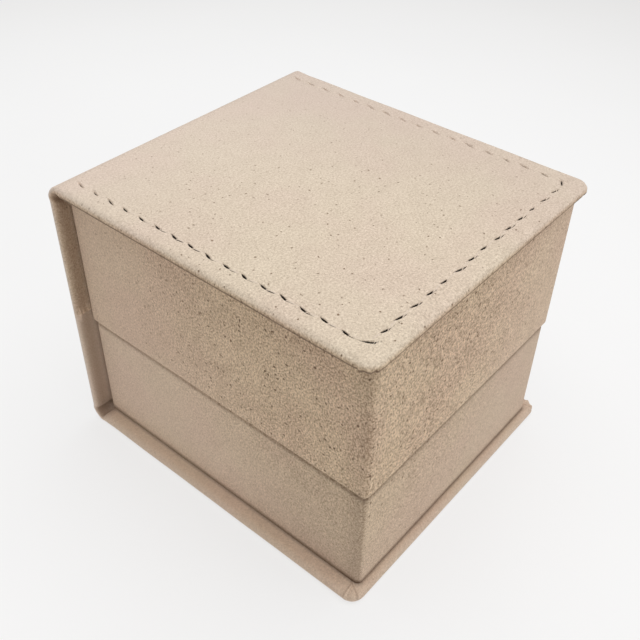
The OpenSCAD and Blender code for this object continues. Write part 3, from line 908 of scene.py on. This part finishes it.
def wrapTray(name, node, body, rimUp, seed):
    # the suede round a tray: a profile (up the wall, over the rounded rim, down inside, then back along the
    # inner skin, so that the sheet is closed) carried round the outline
    low, high = span(node)
    foot, rim = (low[2], high[2]) if rimUp else (high[2], low[2])
    up = 1 if rimUp else -1
    wall, sheet, r = tray["wall"], tray["sheet"], tray["rimRound"]
    height = abs(rim - foot)
    q = np.linspace(0, math.pi / 2, 6)

    def skin(shift):
        k = r - shift
        rise = np.concatenate([[0, 0.4 * mm, 1.2 * mm], np.linspace(2.6 * mm, height - r - 1.2 * mm, 12),
                               [height - r - 0.5 * mm]])
        side = np.stack([np.full_like(rise, shift), rise], -1)
        over = np.stack([r - k * np.cos(q), height - r + k * np.sin(q)], -1)
        back = np.stack([wall - r + k * np.sin(q), height - r + k * np.cos(q)], -1)
        inside = along(height - r, height - tray["turnIn"], np.array([0.2, 0.5, 0.85, 1.0]))
        down = np.stack([np.full(4, wall - shift), inside], -1)
        return np.concatenate([side, over, back, down])

    outer, inner = skin(0.0), skin(sheet)
    loop = np.concatenate([outer, inner[::-1], outer[:1]])
    x, y = outline(low, high, loop[:, :1], tray["corner"], tray["backCorner"])
    z = foot + up * np.broadcast_to(loop[:, 1:], x.shape)
    place = np.stack([x, y, z], -1)
    isOuter = np.concatenate([np.ones(len(outer)), np.zeros(len(inner)), [1]])[:, None]
    rise = np.broadcast_to(loop[:, 1:] / height, x.shape)
    centre = (low + high) / 2
    halfX, halfY = (high[0] - low[0]) / 2, (high[1] - low[1]) / 2
    fx, fy = (x - centre[0]) / halfX, (y - centre[1]) / halfY
    belly = np.sin(math.pi * np.clip(rise, 0, 1)) ** 0.7 * isOuter * (loop[:, :1] < 0.3 * mm)
    onX = smooth((np.abs(fx) - 0.97) * 60) * np.clip(1 - fy ** 2, 0, 1)
    onY = smooth((np.abs(fy) - 0.97) * 60) * np.clip(1 - fx ** 2, 0, 1)
    uneven = swell(place, 17 * mm, seed) * 0.5
    place[..., 0] += np.sign(fx) * tray["bulge"] * belly * onX * (1 + uneven)
    place[..., 1] += np.sign(fy) * tray["bulge"] * belly * onY * (1 + uneven)
    nearRim = smooth((rise - 0.7) / 0.3)
    waver = tray["waver"] * (0.5 if rimUp else 1.0)
    place[..., 2] += swell(place * (1, 1, 0), 13 * mm, seed + 1) * waver * nearRim
    climb = np.broadcast_to(loop[:, 1:], x.shape)
    inset = np.broadcast_to(loop[:, :1], x.shape)
    # painted shade: dark lines along the foot and in the groove at the rim, a band beside the front upright
    # corners, the sides darker towards the front, and on the base the shade just under the lid's rim and a
    # darker front face, darkest under the rim
    footLine = 1 - smooth((climb - 0.15 * mm) / (0.75 * mm))
    rimLine = smooth((inset - 0.1 * mm) / (0.5 * mm)) * (1 - smooth((inset - 0.8 * mm) / (0.5 * mm)))
    rimLine = rimLine * (climb > height - 1.5 * mm)
    upright = np.exp(-((y - low[1] - 1.3 * mm) / (1.5 * mm)) ** 2) * (np.abs(fx) > 0.97)
    frontwardShade = (np.abs(fx) > 0.985) * smooth((-fy + 0.1) / 1.0)
    paintedShade = tray["foot"] * footLine + tray["rim"] * rimLine + tray["upright"] * upright
    if rimUp:
        under = smooth((climb - height + 1.3 * mm) / (1.1 * mm)) * (inset < 0.1 * mm)
        faced = (fy < -0.985) * (1 + 1.4 * (under > 0))
        paintedShade = paintedShade + tray["under"] * under + tray["frontwardShade"] * frontwardShade + tray["faced"] * faced
    else:
        paintedShade = paintedShade + tray["lidFrontwardShade"] * frontwardShade
    paintedShade = np.clip(paintedShade, 0, 1) * isOuter
    piece = makePiece(name, [place], sharpFrom=60, values={"paintedShade": paintedShade})
    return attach(dress(piece, finishes[body + "Tray"], "tray_suede", node), body)


def lineTray(name, node, body, seed):
    # plush glued to the inside of the walls: a thin ring with soft edges, its closed section carried round
    low, high = span(node)
    thick, edge = tray["liningThick"], tray["liningEdge"]
    rise = along(low[2] + edge, high[2] - edge, np.linspace(0, 1, 16))
    q = np.linspace(0, math.pi / 2, 5)[1:-1]
    well = np.full_like(rise, thick)
    loop = np.concatenate([
        np.stack([np.zeros(2), rise[[-1, 0]] + (edge, -edge)], -1),
        np.stack([thick - edge + edge * np.sin(q), low[2] + edge - edge * np.cos(q)], -1),
        np.stack([well, rise], -1),
        np.stack([thick - edge + edge * np.cos(q), high[2] - edge + edge * np.sin(q)], -1)])
    loop = np.concatenate([loop, loop[:1]])
    x, y = outline(low, high, loop[:, :1] + 0.01 * mm, tray["liningCorner"], tray["liningBackCorner"])
    place = np.stack([x, y, np.broadcast_to(loop[:, 1:], x.shape)], -1)
    mid = (low + high) / 2
    inner = (loop[:, :1] > thick * 0.9) * 0.05 * mm * (0.5 + 0.5 * swell(place, 11 * mm, seed))
    for axis, spot in ((0, x), (1, y)):
        nearWall = np.abs(spot - mid[axis]) > (high[axis] - mid[axis]) - 1 * mm
        place[..., axis] += np.sign(spot - mid[axis]) * inner * nearWall
    piece = makePiece(name, [place], sharpFrom=60)
    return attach(dress(piece, finishes["lining"], "lining", node), body)


wrapTray("lidTrayWrap", "lid_wrap", "lid", False, 21)
wrapTray("baseTrayWrap", "base_wrap", "base", True, 31)
lineTray("lidTrayLining", "lid_lining", "lid", 41)
lineTray("baseTrayLining", "base_lining", "base", 51)
print("trays wrapped and lined")


def edgeLines(half, radius, steps):  # stations from -half to half, closer where the edge is rounded
    bend = radius * np.tan(np.linspace(math.pi / 4, 0, 6))
    run = np.linspace(-(half - radius), half - radius, steps)
    return grow(-(half - radius) - bend, run, (half - radius) + bend)


def roundedBlock(low, high, radius, steps):
    # a box with every edge rounded: a point of the plain box goes to the nearest point of the smaller box
    # inside it, and out again by the radius, which may differ along x, y and z
    centre, half = (low + high) / 2, (high - low) / 2
    radius = np.broadcast_to(radius, 3)
    grids = []
    for axis in range(3):
        a, b = [k for k in range(3) if k != axis]
        lines = [edgeLines(half[k], radius[k], steps[k]) for k in (a, b)]
        p, q = np.meshgrid(*lines, indexing="ij")
        for side in (-1, 1):
            spot = np.zeros(p.shape + (3,))
            spot[..., axis], spot[..., a], spot[..., b] = side * half[axis], p, q
            core = np.clip(spot, -(half - radius), half - radius)
            way = (spot - core) / radius
            spot = core + radius * way / np.linalg.norm(way, axis=-1, keepdims=True)
            grids.append(spot + centre)
    return grids


liner = {"edge": 0.2 * mm, "gap": 0.012 * mm, "bumpSize": 10 * mm, "bump": 0.01 * mm, "steps": 24}


def glueLiner(name, node, body, seed):
    # a thin cloth panel glued flat: a block with its edges rounded, and a faint unevenness on its free face
    low, high = span(node)
    thin = int(np.argmin(high - low))
    steps = [liner["steps"]] * 3
    steps[thin] = 2
    grids = roundedBlock(low, high, liner["edge"], steps)
    for grid in grids:
        grid[..., thin] -= np.sign(grid[..., thin] - (low + high)[thin] / 2) * liner["gap"]
        grid[..., thin] += swell(grid, liner["bumpSize"], seed) * liner["bump"]
    piece = makePiece(name, grids)
    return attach(dress(piece, finishes["lining"], "lining", node), body)


glueLiner("topLiner", "top_liner", "lid", 61)
glueLiner("bottomLiner", "bottom_liner", "base", 62)
glueLiner("spineLining", "spine_lining", "spine", 63)
print("liners glued")

# lengths in the pads' tables are in millimetres. look names the finish
roll = {"body": "cushion", "look": "cushion", "radius": (2.4, 5.0, 5.5), "shrink": 0.5, "voxel": 0.9,
        "pressure": 4.0, "cap": 0.8, "hold": "bottom", "fill": 0.8, "crown": 0.5}
pads = {
    "lidPad": {"node": "lid_pad", "body": "lid", "look": "lining", "radius": (1.2, 1.2, 1.2), "shrink": 0.25,
               "voxel": 1.0, "pressure": 4.0, "cap": 0.55, "hold": "top", "fill": 0.5, "crown": -0.35},
    "cushionFrontRoll": {"node": "cushion_front_roll", **roll},
    "cushionBackRoll": {"node": "cushion_back_roll", **roll},
}


padding = {"steps": [34, 24, 10], "frames": 20, "quality": 5, "mass": 0.3, "stretch": 8, "bend": 0.5,
           "glueTop": 0.3, "glueBottom": 0.6, "clear": 0.05, "puckerSize": 5.0, "pucker": 0.10,
           "lumpSize": 12.0, "lump": 0.06}


def blowUp(piece, pad, low, high):
    # an even skin, held where it is glued, pushed out by air in a cloth simulation. No point moves further
    # than the cap, and one subdivision smooths the result.
    remesh = piece.modifiers.new("evenSkin", "REMESH")
    remesh.mode, remesh.voxel_size, remesh.use_smooth_shade = "VOXEL", pad["voxel"] * mm, True
    applyAll(piece)
    before = pointsOf(piece)
    if pad["hold"] == "top":
        glued = before[:, 2] > high[2] - padding["glueTop"] * mm
    else:
        glued = before[:, 2] < low[2] + padding["glueBottom"] * mm
    held = piece.vertex_groups.new(name="glued")
    held.add(np.flatnonzero(glued).tolist(), 1.0, "REPLACE")
    cloth = piece.modifiers.new("filling", "CLOTH").settings
    cloth.quality = padding["quality"]
    cloth.mass = padding["mass"]
    cloth.use_pressure = True
    cloth.uniform_pressure_force = pad["pressure"]
    cloth.effector_weights.gravity = 0
    cloth.vertex_group_mass = "glued"
    cloth.tension_stiffness = cloth.compression_stiffness = padding["stretch"]
    cloth.bending_stiffness = padding["bend"]
    for step in range(1, padding["frames"] + 1):
        scene.frame_set(step)
    move = pointsOf(applyAll(piece)) - before
    scene.frame_set(1)
    far = np.linalg.norm(move, axis=1, keepdims=True)
    setPoints(piece, before + move * np.minimum(1, pad["cap"] * mm / np.maximum(far, 1e-12)))
    finer = piece.modifiers.new("finer", "SUBSURF")
    finer.levels = finer.render_levels = 1
    applyAll(piece)
    piece.data.polygons.foreach_set("use_smooth", np.ones(len(piece.data.polygons), bool))


def fillPad(name, pad):
    # a rounded block that starts a little smaller than its room, is blown up, and is then crowned (or
    # dished) and puckered towards its ends on the free side
    low, high = span(pad["node"])
    start, end = low + pad["shrink"] * mm, high - pad["shrink"] * mm
    if pad["hold"] == "top":
        end[2] = high[2] - padding["clear"] * mm
    else:
        start[2] = low[2] + padding["clear"] * mm
    radius = np.minimum(np.array(pad["radius"]) * mm, (end - start) / 2 - padding["clear"] * mm)
    piece = makePiece(name, roundedBlock(start, end, radius, padding["steps"]))
    blowUp(piece, pad, start, end)
    spots = pointsOf(piece)
    centre, half = (low + high) / 2, (high - low) / 2
    f = (spots - centre) / half
    away = f[:, 2] if pad["hold"] == "bottom" else -f[:, 2]
    free = smooth((away + 0.2) / 1.0) * np.clip(1 - f[:, 0] ** 4, 0, 1) * np.clip(1 - f[:, 1] ** 4, 0, 1)
    puckers = swell(spots * (1, 0.35, 1), padding["puckerSize"] * mm, 71)
    puckers = puckers * smooth((np.abs(f[:, 0]) - 0.72) / 0.25)
    lumps = swell(spots, padding["lumpSize"] * mm, 72)
    spots[:, 2] += (pad["crown"] + padding["pucker"] * puckers + padding["lump"] * lumps) * free * mm
    setPoints(piece, np.clip(spots, low + 0.01 * mm, high - 0.01 * mm))
    dress(piece, finishes[pad["look"]], pad["look"], pad["node"])
    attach(piece, pad["body"])
    print(name, "filled:", len(piece.data.polygons), "faces")


for name, pad in pads.items():
    fillPad(name, pad)


walls = [f"{part}_{side}_wall" for part in ("lid", "base") for side in ("front", "back", "left", "right")]
kept = {
    "board": ["top_board", "spine_board", "bottom_board", "lid_roof", "base_floor", *walls],
    "steel": ["lid_magnet", "base_magnet"],
    "card": ["cushion_card"],
}
for finish, nodes in kept.items():
    for node in nodes:
        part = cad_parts[node]
        part.data.materials.clear()
        part.data.materials.append(finishes[finish])
print("boards, card and magnets finished")
